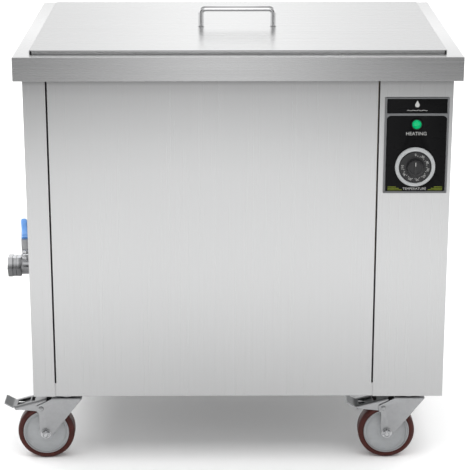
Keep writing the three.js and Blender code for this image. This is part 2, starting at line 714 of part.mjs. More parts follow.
// ---------------------------------------------------------------- assembly
addMesh(washer, "base_plate", makeBasePlate(), "brushedSteel");
addMesh(washer, "left_side_panel", makeLeftPanel(), "brushedSteel");
addMesh(washer, "right_side_panel", makeRightPanel(), "brushedSteel");
addMesh(washer, "front_panel", makeFrontPanel(), "brushedSteel");
addMesh(washer, "rear_panel", makeRearPanel(), "brushedSteel");
addMesh(washer, "top_rim", makeTopRim(), "brushedSteel");
addMesh(washer, "inner_tank", makeInnerTank(), "brushedSteel");
addMesh(washer, "tank_insulation", makeInsulation(), "mineralWool");
addMesh(washer, "parts_rest_plate", makePartsRestPlate(), "brushedSteel");
addMesh(washer, "drain_strainer", makeStrainer(), "polishedSteel");
addMesh(washer, "heater_pad_front", makeHeaterPad(-1), "siliconePad");
addMesh(washer, "heater_pad_rear", makeHeaterPad(1), "siliconePad");
addMesh(washer, "lid_panel", makeLidPanel(), "brushedSteel");
addMesh(washer, "lid_handle", makeLidHandle(), "polishedSteel");
addMesh(washer, "control_frame", makeControlFrame(), "greyPlastic");
addMesh(washer, "control_fascia", makeFascia(), "blackPlastic");
addMesh(washer, "lamp_body", makeLampBody(), "blackPlastic");
addMesh(washer, "lamp_lens", makeLampLens(), "greenLens");
addMesh(washer, "thermostat_body", makeThermostat(), "paleNylon");
addMesh(washer, "thermostat_probe", makeThermostatProbe(), "brass");
addMesh(washer, "dial_bezel", makeDialBezel(), "greyPlastic");
addMesh(washer, "temperature_knob", makeKnob(), "blackPlastic");
addMesh(washer, "knob_shaft", makeKnobShaft(), "zincSteel");
addMesh(washer, "contactor", makeContactor(), "paleNylon");
addMesh(washer, "terminal_block", makeTerminalBlock(), "paleNylon");
addMesh(washer, "cable_gland", makeCableGland(), "blackPlastic");
addMesh(washer, "drain_elbow", makeDrainElbow(), "brushedSteel");
addMesh(washer, "drain_nipple", makeDrainNipple(), "zincSteel");
addMesh(washer, "drain_locknut", makeDrainLocknut(), "zincSteel");
washer.add(makeDrainValve());
for (const [row, y] of [["front", -CASTER.y], ["rear", CASTER.y]])
  for (const [side, x] of [["left", -CASTER.x], ["right", CASTER.x]])
    washer.add(makeCaster(`${row}_${side}`, x, y, row === "front"));

export default assembly;
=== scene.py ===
"""The looks of a heated parts washer tank on casters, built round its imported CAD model.

Shapes are made in millimetres about a local origin, then scaled to metres and placed where the
CAD model says. Axes: +Z up, the front faces -Y, the floor is z = 0.
"""

import math

import bmesh
import bpy
from mathutils import Matrix, Vector


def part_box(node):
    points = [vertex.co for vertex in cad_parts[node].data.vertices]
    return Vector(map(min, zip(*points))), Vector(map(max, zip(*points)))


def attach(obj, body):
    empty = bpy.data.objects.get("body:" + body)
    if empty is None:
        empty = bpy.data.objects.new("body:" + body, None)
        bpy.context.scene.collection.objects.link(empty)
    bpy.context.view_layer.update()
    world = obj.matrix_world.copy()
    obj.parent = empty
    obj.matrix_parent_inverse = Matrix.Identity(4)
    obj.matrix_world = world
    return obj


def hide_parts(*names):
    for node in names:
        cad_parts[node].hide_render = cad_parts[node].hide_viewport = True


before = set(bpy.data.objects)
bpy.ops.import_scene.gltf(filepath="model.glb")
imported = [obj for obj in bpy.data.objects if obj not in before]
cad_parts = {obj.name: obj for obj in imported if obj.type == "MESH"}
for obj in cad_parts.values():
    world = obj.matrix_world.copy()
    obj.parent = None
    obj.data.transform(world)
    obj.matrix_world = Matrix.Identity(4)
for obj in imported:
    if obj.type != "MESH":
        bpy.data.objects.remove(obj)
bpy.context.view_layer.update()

MM = 0.001
CORNERS = ("front_left", "front_right", "rear_left", "rear_right")


# ---- places, from the frame
def centre(node):
    low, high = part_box(node)
    return (low + high) / 2


def under(node, z=0.0):
    """The point straight under the node's middle, on the floor or at another height."""
    middle = centre(node)
    return Vector((middle.x, middle.y, z))


def box_in_mm(node):
    return [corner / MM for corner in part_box(node)]


def rear_middle(node):
    """The middle of the node's rear face, in metres, and the node's size in millimetres."""
    low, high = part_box(node)
    return Vector(((low.x + high.x) / 2, high.y, (low.z + high.z) / 2)), (high - low) / MM


# ---- outlines and rings
def arc(cx, cy, radius, start, end, steps):
    """Points on an arc, angles in degrees."""
    angles = [math.radians(start + (end - start) * i / steps) for i in range(steps + 1)]
    return [(cx + radius * math.cos(a), cy + radius * math.sin(a)) for a in angles]


def circle(radius, steps=32, cx=0.0, cy=0.0):
    return arc(cx, cy, radius, 0, 360, steps)[:-1]


def fillet(points, radius, steps=4, closed=True):
    """The outline with its corners rounded; radius is one number, or one for each point."""
    count = len(points)
    radii = radius if isinstance(radius, (list, tuple)) else [radius] * count
    result = []
    for i, point in enumerate(points):
        inner = closed or 0 < i < count - 1
        if not inner or radii[i] <= 0:
            result.append(tuple(point))
            continue
        here = Vector(point)
        before = (Vector(points[i - 1]) - here).normalized()
        after = (Vector(points[(i + 1) % count]) - here).normalized()
        half = before.angle(after) / 2
        if half > math.radians(88):
            result.append(tuple(point))
            continue
        reach = radii[i] / math.tan(half)
        middle = here + (before + after).normalized() * (radii[i] / math.sin(half))
        first, last = here + before * reach - middle, here + after * reach - middle
        turn = first.angle_signed(last)
        for step in range(steps + 1):
            spin = Matrix.Rotation(-turn * step / steps, 2)
            result.append(tuple(middle + spin @ first))
    return result


def rectangle(x0, y0, x1, y1, radius=0.0, steps=4):
    corners = [(x0, y0), (x1, y0), (x1, y1), (x0, y1)]
    return fillet(corners, radius, steps) if radius else corners


def hexagon_radius(across, angle):
    """Distance from the middle of a hexagon to its edge; a flat faces angle 0."""
    sixth = math.pi / 3
    return across / 2 / math.cos((angle + sixth / 2) % sixth - sixth / 2)


# ---- shapes (bmesh, millimetres)
def add_object(name, data):
    made = bpy.data.objects.new(name, data)
    bpy.context.scene.collection.objects.link(made)
    return made


def loft(rings, closed=False):
    """A skin over rings of points; a ring of one point is a pole."""
    shape = bmesh.new()
    made = [[shape.verts.new(p) for p in ring] for ring in rings]
    pairs = list(zip(made, made[1:])) + ([(made[-1], made[0])] if closed else [])
    for a, b in pairs:
        count = max(len(a), len(b))
        for i in range(count):
            j = (i + 1) % count
            corners = [a[i % len(a)], a[j % len(a)], b[j % len(b)], b[i % len(b)]]
            corners = list(dict.fromkeys(corners))
            if len(corners) > 2:
                shape.faces.new(corners)
    if not closed:
        for ring in (made[0], made[-1]):
            if len(ring) > 2:
                shape.faces.new(ring)
    bmesh.ops.recalc_face_normals(shape, faces=shape.faces)
    return shape


def ring_of(radius, height, sides):
    if radius < 1e-6:
        return [(0.0, 0.0, height)]
    return [(x, y, height) for x, y in circle(radius, sides)]


def rings_of(profile, sides):
    return [ring_of(radius, height, sides) for radius, height in profile]


def lathe(profile, sides=48):
    """A turned solid about Z, from pairs of radius and height."""
    return loft(rings_of(profile, sides))


def lathe_ring(profile, sides=48):
    """A turned ring about Z, with the outline of its section."""
    return loft(rings_of(profile, sides), closed=True)


def polar_ring(radius_at, height, sides):
    """A ring whose radius depends on the angle."""
    angles = [2 * math.pi * i / sides for i in range(sides)]
    return [(radius_at(a) * math.cos(a), radius_at(a) * math.sin(a), height) for a in angles]


def fluted_ring(radius, height, flutes, depth, sides=96):
    return polar_ring(lambda a: radius + depth * math.cos(flutes * a), height, sides)


def hexagon_ring(across, height, sides=48):
    return polar_ring(lambda a: hexagon_radius(across, a), height, sides)


def hexagon(across, low, high, bore=0.0, sides=48):
    """A nut or bolt head with its corners chamfered at 30 degrees."""
    chamfer = across / 2 * 1.01
    slope = math.tan(math.radians(30))

    def face(height):
        return polar_ring(lambda a: min(hexagon_radius(across, a), chamfer), height, sides)

    def corners(height, up):
        return [(x, y, height - up * max(math.hypot(x, y) - chamfer, 0) * slope)
                for x, y, _ in hexagon_ring(across, height, sides)]

    rings = [face(low), corners(low, -1), corners(high, 1), face(high)]
    if bore:
        rings += rings_of([(bore, high), (bore, low)], sides)
    return loft(rings, closed=bool(bore))


def plate(outline, low, high, holes=(), edge=0.4):
    """A flat piece with rounded edges in the XY plane, with holes through it."""
    curve = bpy.data.curves.new("outline", "CURVE")
    curve.dimensions = "2D"
    curve.fill_mode = "BOTH"
    for loop in (outline, *holes):
        spline = curve.splines.new("POLY")
        spline.points.add(len(loop) - 1)
        for point, (x, y) in zip(spline.points, loop):
            point.co = (x, y, 0, 1)
        spline.use_cyclic_u = True
    curve.extrude = (high - low) / 2 - edge
    curve.bevel_depth = edge
    curve.bevel_resolution = 2
    curve.offset = -edge
    shape = shape_from(curve)
    bmesh.ops.remove_doubles(shape, verts=shape.verts, dist=1e-4)
    bmesh.ops.translate(shape, verts=shape.verts, vec=(0, 0, (low + high) / 2))
    bmesh.ops.recalc_face_normals(shape, faces=shape.faces)
    return shape


def shape_from(curve):
    """The shape that a curve or text datablock makes."""
    holder = add_object("holder", curve)
    depsgraph = bpy.context.evaluated_depsgraph_get()
    mesh = bpy.data.meshes.new_from_object(holder.evaluated_get(depsgraph))
    bpy.data.objects.remove(holder)
    shape = bmesh.new()
    shape.from_mesh(mesh)
    bpy.data.meshes.remove(mesh)
    return shape


def block(low, high, radius):
    """A box with rounded edges."""
    shape = bmesh.new()
    size = Vector(high) - Vector(low)
    bmesh.ops.create_cube(shape, size=1.0)
    bmesh.ops.scale(shape, vec=size, verts=shape.verts)
    bmesh.ops.translate(shape, vec=Vector(low) + size / 2, verts=shape.verts)
    reach = min(radius, min(size) * 0.45)
    bmesh.ops.bevel(shape, geom=shape.edges[:], offset=reach, segments=2, affect="EDGES",
                    profile=0.5)
    return shape


def tube(points, radius, sides):
    """A round bar along points, with its frame carried along so that it doesn't twist."""
    path = [Vector(p) for p in points]
    tangents = []
    for i in range(len(path)):
        ahead, behind = path[min(i + 1, len(path) - 1)], path[max(i - 1, 0)]
        tangents.append((ahead - behind).normalized())
    across = tangents[0].orthogonal().normalized()
    rings = []
    for i, (point, tangent) in enumerate(zip(path, tangents)):
        if i:
            across = tangents[i - 1].rotation_difference(tangent) @ across
        other = tangent.cross(across)
        rings.append([point + (across * x + other * y) for x, y in circle(radius, sides)])
    return loft(rings)


def sheet(grid, thickness, skip):
    """A sheet-metal skin over a grid of points, thickened towards the inside."""
    shape = bmesh.new()
    made = [[shape.verts.new(p) if p is not None else None for p in row] for row in grid]
    for i in range(len(grid) - 1):
        for j in range(len(grid[0]) - 1):
            corners = [made[i][j], made[i + 1][j], made[i + 1][j + 1], made[i][j + 1]]
            if None not in corners and not skip(i, j):
                shape.faces.new(corners)
    loose = [v for v in shape.verts if not v.link_faces]
    bmesh.ops.delete(shape, geom=loose, context="VERTS")
    bmesh.ops.remove_doubles(shape, verts=shape.verts, dist=1e-4)
    bmesh.ops.solidify(shape, geom=shape.faces[:], thickness=thickness)
    return shape


def moved(shape, x=0.0, y=0.0, z=0.0):
    bmesh.ops.translate(shape, vec=(x, y, z), verts=shape.verts)
    return shape


def spun(shape, axis, degrees):
    turn = Matrix.Rotation(math.radians(degrees), 3, axis)
    bmesh.ops.rotate(shape, cent=(0, 0, 0), matrix=turn, verts=shape.verts)
    return shape


def to_front(shape):
    """Turns a shape made in the XY plane so that +Z faces the front, -Y."""
    return spun(shape, "X", 90)


def on_side(shape, side):
    """Turns a shape made along +Z to face +Y or, where side is -1, -Y."""
    return spun(shape, "X", -90 * side)


def to_side(shape):
    """Turns a shape made along +Z so that it runs along +X."""
    return spun(shape, "Y", 90)


def combined(*shapes):
    whole = bmesh.new()
    for shape in shapes:
        mesh = bpy.data.meshes.new("part")
        shape.to_mesh(mesh)
        shape.free()
        whole.from_mesh(mesh)
        bpy.data.meshes.remove(mesh)
    return whole


def lettering(text, size):
    """Raised generic lettering in the XY plane, centred on the origin."""
    font = bpy.data.curves.new("text", "FONT")
    font.body = text
    font.size = size
    font.align_x = "CENTER"
    font.align_y = "CENTER"
    font.extrude = 0.04
    font.resolution_u = 3
    return shape_from(font)


def mesh_from(name, shape, look, smooth=35):
    """Makes the mesh of a shape in millimetres; edges sharper than smooth degrees stay sharp."""
    mesh = bpy.data.meshes.new(name)
    shape.to_mesh(mesh)
    shape.free()
    mesh.transform(Matrix.Scale(MM, 4))
    mesh.materials.append(look.material)
    mesh.shade_smooth()
    mesh.set_sharp_from_angle(angle=math.radians(smooth))
    return mesh


def stand(name, mesh, body, at, node=None):
    """Puts an object of the mesh at a point in metres, on a body, in the place of a CAD node."""
    made = add_object(name, mesh)
    made.location = at
    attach(made, body)
    if node:
        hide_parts(node)


def piece(name, shape, look, body, at=(0, 0, 0), node=None, smooth=35):
    """Makes an object of a shape in millimetres about the point at, which is in metres."""
    stand(name, mesh_from(name, shape, look, smooth), body, at, node)


# ---- materials
def maths_in(tree, operation, *values):
    node = tree.nodes.new("ShaderNodeMath")
    node.operation = operation
    for socket, value in zip(node.inputs, values):
        if isinstance(value, (int, float)):
            socket.default_value = value
        else:
            tree.links.new(value, socket)
    return node.outputs["Value"]


def set_inputs(node, **values):
    """Sets input sockets; an underscore in a key stands for a space in the socket's name."""
    for socket, value in values.items():
        node.inputs[socket.replace("_", " ")].default_value = value


class Look:
    """A principled material, helpers for its procedural detail, and the slot it stands for."""

    def __init__(self, name, colour, roughness, metallic=0.0, slot=None, **levels):
        self.slot = slot or name
        self.material = bpy.data.materials.new(name)
        self.material.use_nodes = True
        self.material.diffuse_color = (*colour, 1)
        self.tree = self.material.node_tree
        self.bsdf = self.tree.nodes["Principled BSDF"]
        self.colour, self.roughness = colour, roughness
        set_inputs(self.bsdf, Base_Color=(*colour, 1), Roughness=roughness, Metallic=metallic,
                   **levels)

    def node(self, kind, **settings):
        made = self.tree.nodes.new("ShaderNode" + kind)
        for key, value in settings.items():
            setattr(made, key, value)
        return made

    def link(self, output, target):
        self.tree.links.new(output, target)

    def noise(self, scale, stretch=(1, 1, 1), detail=3.0, roughness=0.55, distortion=0.0):
        coordinates, mapping, texture = map(self.node, ("TexCoord", "Mapping", "TexNoise"))
        set_inputs(mapping, Scale=stretch)
        set_inputs(texture, Scale=scale, Detail=detail, Roughness=roughness, Distortion=distortion)
        self.link(coordinates.outputs["Object"], mapping.inputs["Vector"])
        self.link(mapping.outputs["Vector"], texture.inputs["Vector"])
        return texture.outputs["Fac"]

    def between(self, factor, low, high, start=0.3, end=0.7):
        """A number that runs from low to high with the factor."""
        node = self.node("MapRange")
        set_inputs(node, From_Min=start, From_Max=end, To_Min=low, To_Max=high)
        self.link(factor, node.inputs["Value"])
        return node.outputs["Result"]

    def mixed(self, factor, *stops):
        """A colour that follows the factor through stops, each a position and a colour."""
        node = self.node("ValToRGB")
        elements = node.color_ramp.elements
        while len(elements) < len(stops):
            elements.new(0.5)
        for element, (position, colour) in zip(elements, stops):
            element.position = position
            element.color = (*colour, 1)
        self.link(factor, node.inputs["Fac"])
        return node.outputs["Color"]

    def vary_colour(self, factor, darker, lighter, start=0.3, end=0.7):
        first, second = ([c * k for c in self.colour] for k in (darker, lighter))
        self.link(self.mixed(factor, (start, first), (end, second)), self.bsdf.inputs["Base Color"])

    def vary_roughness(self, factor, amount):
        low, high = self.roughness - amount, self.roughness + amount
        self.link(self.between(factor, low, high), self.bsdf.inputs["Roughness"])

    def bump(self, height, strength, distance):
        node = self.node("Bump")
        set_inputs(node, Strength=strength, Distance=distance)
        self.link(height, node.inputs["Height"])
        self.link(node.outputs["Normal"], self.bsdf.inputs["Normal"])

    def math(self, operation, *values):
        """A maths node; each value is a number or another node's output."""
        return maths_in(self.tree, operation, *values)

    def height(self, kind, low, high):
        """How far up a point is, 0 at low and 1 at high; kind is Object (metres) or Generated."""
        coordinates, split = self.node("TexCoord"), self.node("SeparateXYZ")
        self.link(coordinates.outputs[kind], split.inputs["Vector"])
        return self.between(split.outputs["Z"], 0.0, 1.0, low, high)

    def darken(self, share):
        """Multiplies the colour by another node's output."""
        mixer = self.node("Mix", data_type="RGBA", blend_type="MULTIPLY")
        mixer.inputs[0].default_value = 1.0
        base = self.bsdf.inputs["Base Color"]
        self.link(base.links[0].from_socket, mixer.inputs[6])
        self.link(share, mixer.inputs[7])
        self.link(mixer.outputs[2], base)

    def shade_below(self, kind, low, high, share):
        """Paints shade into the colour below the height low, down to a share of the colour."""
        self.darken(self.mixed(self.height(kind, low, high), (0.0, [share] * 3), (1.0, [1.0] * 3)))

    def shade_under(self, edge, steps):
        """Paints shadow into the colour below an edge; steps pair depths below it with shares of
        the colour.
        """
        deepest = steps[-1][0]
        stops = [(1.0 - depth / deepest, [share] * 3) for depth, share in reversed(steps)]
        self.darken(self.mixed(self.height("Object", edge - deepest, edge), *stops))


FINE, LONG = 1300.0, 1.6  # brushing lines per metre across the grain and along it


def brushed_steel(name, tone, roughness, grain, anisotropy=0.6, spread=None, turn=0.0, shade=1.0,
                  under=()):
    """Brushed stainless sheet; its highlight spreads across the grain, or along spread. Below 1,
    shade paints shade into all but the top of the part, and under paints the rim's shadow below the
    rim.
    """
    look = Look(name, (tone, tone * 1.004, tone * 1.008), roughness, 1.0, "brushed_steel",
                Anisotropic=anisotropy, Anisotropic_Rotation=turn)
    stretch = [LONG if axis in grain else FINE for axis in "xyz"]
    lines = look.noise(1.0, stretch, detail=2.0)
    patches = look.noise(3.0, detail=2.0)
    both = look.math("MULTIPLY_ADD", patches, 0.35, lines)
    look.vary_colour(both, 0.975, 1.025, 0.45, 0.9)
    look.vary_roughness(lines, 0.03)
    look.bump(lines, 0.06, 0.00002)
    if spread:
        direction = look.node("CombineXYZ")
        set_inputs(direction, **dict(zip("XYZ", spread)))
        look.link(direction.outputs["Vector"], look.bsdf.inputs["Tangent"])
    # painted shade: all but the top of the part is darkened to the share shade
    if shade < 1.0:
        look.shade_below("Generated", 0.975, 0.995, shade)
    # painted shadow under the rim, in the colour
    if under:
        look.shade_under(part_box("top_rim")[0].z, under)
    return look


EVEN = (1, 1, 1)  # the stretch of a noise that is alike in all directions


def textured(name, colour, roughness, tint, wear=None, relief=None, metallic=0.0, slot=None,
             **levels):
    """A look that varies with noises, each given as (scale, stretch, detail).

    tint is a noise and the shares of the colour that it runs between, wear is a noise and the most
    that it changes the roughness, and relief is a noise, its strength and its depth in metres.
    """
    look = Look(name, colour, roughness, metallic, slot, **levels)
    look.vary_colour(look.noise(*tint[0]), *tint[1:])
    if wear:
        look.vary_roughness(look.noise(*wear[0]), wear[1])
    if relief:
        look.bump(look.noise(*relief[0]), *relief[1:])
    return look


def zinc_steel(name, tone, roughness=0.34, shade=1.0, slot="zinc_steel"):
    """Zinc-plated steel: a faint blotch and a fine orange-peel surface; below 1, shade paints shade
    under the middle.
    """
    look = textured(name, (tone, tone * 1.01, tone * 1.03), roughness,
                    ((120.0, EVEN, 4.0), 0.96, 1.04), ((420.0,), 0.05),
                    ((900.0, EVEN, 2.0), 0.06, 0.00003), 1.0, slot)
    # painted shade: darker below the object's middle
    if shade < 1.0:
        look.shade_below("Object", 0.003, 0.009, shade)
    return look


def polished_steel(name, tone=0.72, roughness=0.11):
    haze = (60.0, (1, 4, 4), 4.0)
    return textured(name, (tone, tone, tone * 1.01), roughness, (haze, 0.95, 1.03), (haze, 0.035),
                    ((700.0, EVEN, 2.0), 0.05, 0.00003), 1.0, "polished_steel")


def moulded_plastic(name, colour, roughness, slot=None, depth=0.18, **levels):
    """Injection-moulded plastic: an even colour, a spark-eroded grain and faint flow marks."""
    flow = (45.0, (1, 1, 3))
    return textured(name, colour, roughness, (flow, 0.95, 1.05), (flow, 0.05),
                    ((2600.0, EVEN, 2.0), depth, 0.00004), 0.0, slot, **levels)


# Painted shadow under the rim: depths below it in metres, with the share of the light that reaches
# the sheet there, painted into its colour.
RIM_SHADOW = ((0.0, 0.40), (0.003, 0.48), (0.010, 0.70), (0.028, 0.81), (0.060, 0.88),
              (0.110, 0.96), (0.160, 1.0))
# painted shadow: the cabinet sheet's colour is darkened just below the rim
CABINET_STEEL = brushed_steel("cabinet_steel", 0.395, 0.30, "z", anisotropy=0.8, under=RIM_SHADOW)
# painted shade: the rim is darkened to 0.44 of its colour below its top face
RIM_STEEL = brushed_steel("rim_steel", 0.60, 0.27, "xy", turn=0.25, shade=0.44)
# painted shade: the lid's folded lip, below its top sheet, is darkened to 0.6 of its colour
LID_STEEL = brushed_steel("lid_steel", 0.63, 0.28, "x", 0.7, spread=(0, 1, 0), shade=0.6)
TANK_STEEL = brushed_steel("tank_steel", 0.58, 0.33, "z", anisotropy=0.4)
PIPE_STEEL = zinc_steel("pipe_steel", 0.50, 0.30)
ZINC = zinc_steel("zinc_plate", 0.30)
# painted shade: the valve's lower half is darkened to 0.28 of its colour
VALVE_ZINC = zinc_steel("valve_zinc", 0.56, 0.24, shade=0.28)
LEVER_STEEL = zinc_steel("lever_steel", 0.74, 0.42, slot="polished_steel")
# painted shade: a near-black plate stands in for the shade in the pedal's window
WINDOW_SHADE_STEEL = zinc_steel("window_shade_steel", 0.03, 0.5)
NUT_ZINC = zinc_steel("nut_zinc", 0.42, 0.27)
POLISHED = polished_steel("polished_bar")
BALL_CHROME = polished_steel("ball_chrome", 0.66, 0.06)

GREY_PLASTIC = moulded_plastic("grey_plastic", (0.36, 0.37, 0.375), 0.42)
HUB_PLASTIC = moulded_plastic("hub_plastic", (0.36, 0.37, 0.38), 0.38, "wheel_plastic")
FRAME_PLASTIC = moulded_plastic("frame_plastic", (0.11, 0.113, 0.117), 0.38, "grey_plastic")
KNOB_PLASTIC = moulded_plastic("knob_plastic", (0.012, 0.012, 0.013), 0.44, "black_plastic",
                               Specular_IOR_Level=0.35)
BLACK_PLASTIC = moulded_plastic("black_plastic", (0.006, 0.006, 0.0065), 0.34,
                                Specular_IOR_Level=0.2)
BLACK_GLOSS = moulded_plastic("black_gloss", (0.003, 0.003, 0.0034), 0.3, "black_plastic", 0.04,
                              Specular_IOR_Level=0.06)
NYLON = moulded_plastic("pale_nylon", (0.68, 0.65, 0.58), 0.5)

CAST = (260.0, EVEN, 2.0)  # the cloud in the lens, which has a little light of its own
LENS = textured("green_lens", (0.0, 0.42, 0.16), 0.16, (CAST, 0.85, 1.15), None,
                (CAST, 0.1, 0.00005), Coat_Weight=0.6, Coat_Roughness=0.05,
                Emission_Color=(0.0, 0.55, 0.22, 1), Emission_Strength=0.12)
RUNS = (160.0, (1, 0.5, 1))  # where the dipped vinyl ran while it set
VINYL = textured("blue_vinyl", (0.10, 0.30, 0.72), 0.34, (RUNS, 0.9, 1.1), (RUNS, 0.06),
                 (RUNS, 0.25, 0.0002), Coat_Weight=0.35, Coat_Roughness=0.22)
TYRE = textured("brown_tyre", (0.048, 0.0085, 0.0058), 0.42, ((70.0, EVEN, 4.0), 0.72, 1.3),
                ((300.0,), 0.09), ((1400.0,), 0.2, 0.00006), Specular_IOR_Level=0.22)
FIBRES = (420.0, (1, 1, 5), 6.0, 0.7, 1.5)
WOOL = textured("mineral_wool", (0.46, 0.38, 0.22), 0.95, (FIBRES, 0.6, 1.35), None,
                (FIBRES, 0.9, 0.002), Sheen_Weight=0.25)
WEAVE = (900.0, EVEN, 2.0)
SILICONE = textured("silicone_mat", (0.46, 0.08, 0.03), 0.62, (WEAVE, 0.85, 1.15), None,
                    (WEAVE, 0.35, 0.0002))
TARNISH = (150.0, EVEN, 4.0)
BRASS = textured("capillary_brass", (0.62, 0.43, 0.16), 0.3, (TARNISH, 0.75, 1.1), (TARNISH, 0.08),
                 metallic=1.0)
WHITE_INK = textured("white_ink", (0.42, 0.42, 0.41), 0.5, (WEAVE, 0.93, 1.05), slot="grey_plastic")
GREEN_INK = textured("green_ink", (0.11, 0.135, 0.01), 0.5, ((300.0, EVEN, 2.0), 0.8, 1.15),
                     slot="green_lens", Specular_IOR_Level=0.2)


# ---- CAD nodes that stay
def keep(node, look, bevel=0.0):
    """Gives a CAD node its material, and rounds its edges by bevel millimetres."""
    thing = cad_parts[node]
    for slot in thing.material_slots:
        slot.material = look.material
    if bevel:
        weld = thing.modifiers.new("weld", "WELD")
        weld.merge_threshold = 1e-5
        flatten = thing.modifiers.new("flatten", "DECIMATE")
        flatten.decimate_type = "DISSOLVE"
        flatten.angle_limit = math.radians(1)
        fold = thing.modifiers.new("fold", "BEVEL")
        fold.width = bevel * MM
        fold.segments = 3
        fold.limit_method = "ANGLE"
        fold.angle_limit = math.radians(34)
        fold.harden_normals = False


def keep_cad_nodes():
    for side in ("front", "left_side", "right_side", "rear"):
        keep(f"{side}_panel", CABINET_STEEL, 0.7)
    keep("base_plate", CABINET_STEEL, 0.6)
    keep("top_rim", RIM_STEEL, 0.7)
    keep("inner_tank", TANK_STEEL, 0.8)
    keep("tank_insulation", WOOL, 2.0)
    keep("heater_pad_front", SILICONE, 0.8)
    keep("heater_pad_rear", SILICONE, 0.8)
    keep("thermostat_probe", BRASS)
    keep("thermostat_body", NYLON, 0.8)
    keep("knob_shaft", NUT_ZINC, 0.3)
    keep("lamp_body", BLACK_PLASTIC, 0.3)
    keep("drain_elbow", PIPE_STEEL)
    keep("drain_nipple", PIPE_STEEL, 0.4)
    keep("drain_locknut", NUT_ZINC, 0.5)
    keep("valve_ball", BALL_CHROME, 0.3)
    keep("valve_stem", POLISHED, 0.3)


# ---- lid
def lid_sheet():
    """A flat sheet folded down on four sides, with a relief notch at each corner."""
    low, high = box_in_mm("lid_panel")
    half_x, half_y = (high.x - low.x) / 2, (high.y - low.y) / 2
    top = high.z
    lip, fold, notch, gauge = 5.7, 2.0, 2.6, 1.5
    shape = bmesh.new()
    a, b = half_x - fold, half_y - fold
    flat = []
    for sx, sy in ((1, 1), (-1, 1), (-1, -1), (1, -1)):
        along_x = (sx * (a - notch), sy * b)
        along_y = (sx * a, sy * (b - notch))
        corner = fillet([along_y, (sx * a, sy * b), along_x], 1.5, 3, closed=False)
        flat += corner if sx * sy > 0 else corner[::-1]
    shape.faces.new([shape.verts.new((x, y, top)) for x, y in flat])
    drop = [(fold * math.sin(t), fold * math.cos(t) - fold)
            for t in map(math.radians, (0, 22, 45, 68, 90))] + [(fold, -lip)]
    for sx in (1, -1):
        for run, reach, swap in ((b - notch, a, False), (a - notch, b, True)):
            rows = []
            for out, down in drop:
                ends = [(sx * (reach + out), side * run) for side in (-1, 1)]
                ends = [(y, x) if swap else (x, y) for x, y in ends]
                rows.append([shape.verts.new((x, y, top + down)) for x, y in ends])
            for (p, q), (r, s) in zip(rows, rows[1:]):
                shape.faces.new([p, q, s, r])
    bmesh.ops.remove_doubles(shape, verts=shape.verts, dist=1e-4)
    bmesh.ops.recalc_face_normals(shape, faces=shape.faces)
    if max(shape.faces, key=lambda f: f.calc_area()).normal.z < 0:
        bmesh.ops.reverse_faces(shape, faces=shape.faces)
    bmesh.ops.solidify(shape, geom=shape.faces[:], thickness=gauge)
    return shape


def lid_strips():
    """Straight locating strips welded under the lid, inside the tank's mouth."""
    low, high = box_in_mm("lid_panel")
    z0, z1 = low.z + 0.1, high.z - 1.6
    mx, my, t = 307.0, 207.0, 0.75
    return [block((-240, s * my - t, z0), (240, s * my + t, z1), 0.3) for s in (-1, 1)] + [
        block((s * mx - t, -150, z0), (s * mx + t, 150, z1), 0.3) for s in (-1, 1)]


def make_lid():
    piece("lid_sheet", combined(lid_sheet(), *lid_strips()), LID_STEEL, "lid", under("lid_panel"),
          "lid_panel", smooth=8)

    low, high = box_in_mm("lid_handle")
    radius, bend = 4.75, 7.5
    half, foot, top = (high.x - low.x) / 2 - radius, low.z, high.z - radius
    outline = [(-half, foot), (-half, top), (half, top), (half, foot)]
    path = [(x, 0, z) for x, z in fillet(outline, [0, bend, bend, 0], 8, closed=False)]
    weld = [(0, 0), (6.0, 0), (5.5, 0.5), (5.0, 1.2), (0, 1.2)]
    feet = [moved(lathe(weld, 32), x, z=foot) for x in (-half, half)]
    piece("lid_handle_bar", combined(tube(path, radius, 28), *feet), POLISHED, "lid",
          under("lid_handle"), "lid_handle")


# ---- control panel
RAIL_SIDE, RAIL_TOP, RAIL_BOTTOM = 3.4, 2.2, 3.6  # widths of the frame's rails
DIVIDER_LOW, DIVIDER_HIGH = 30.8, 26.6  # the edges of its divider, down from the top


def ink(outline):
    """A thin print of the outline."""
    return plate(outline, 0, 0.1, edge=0.02)


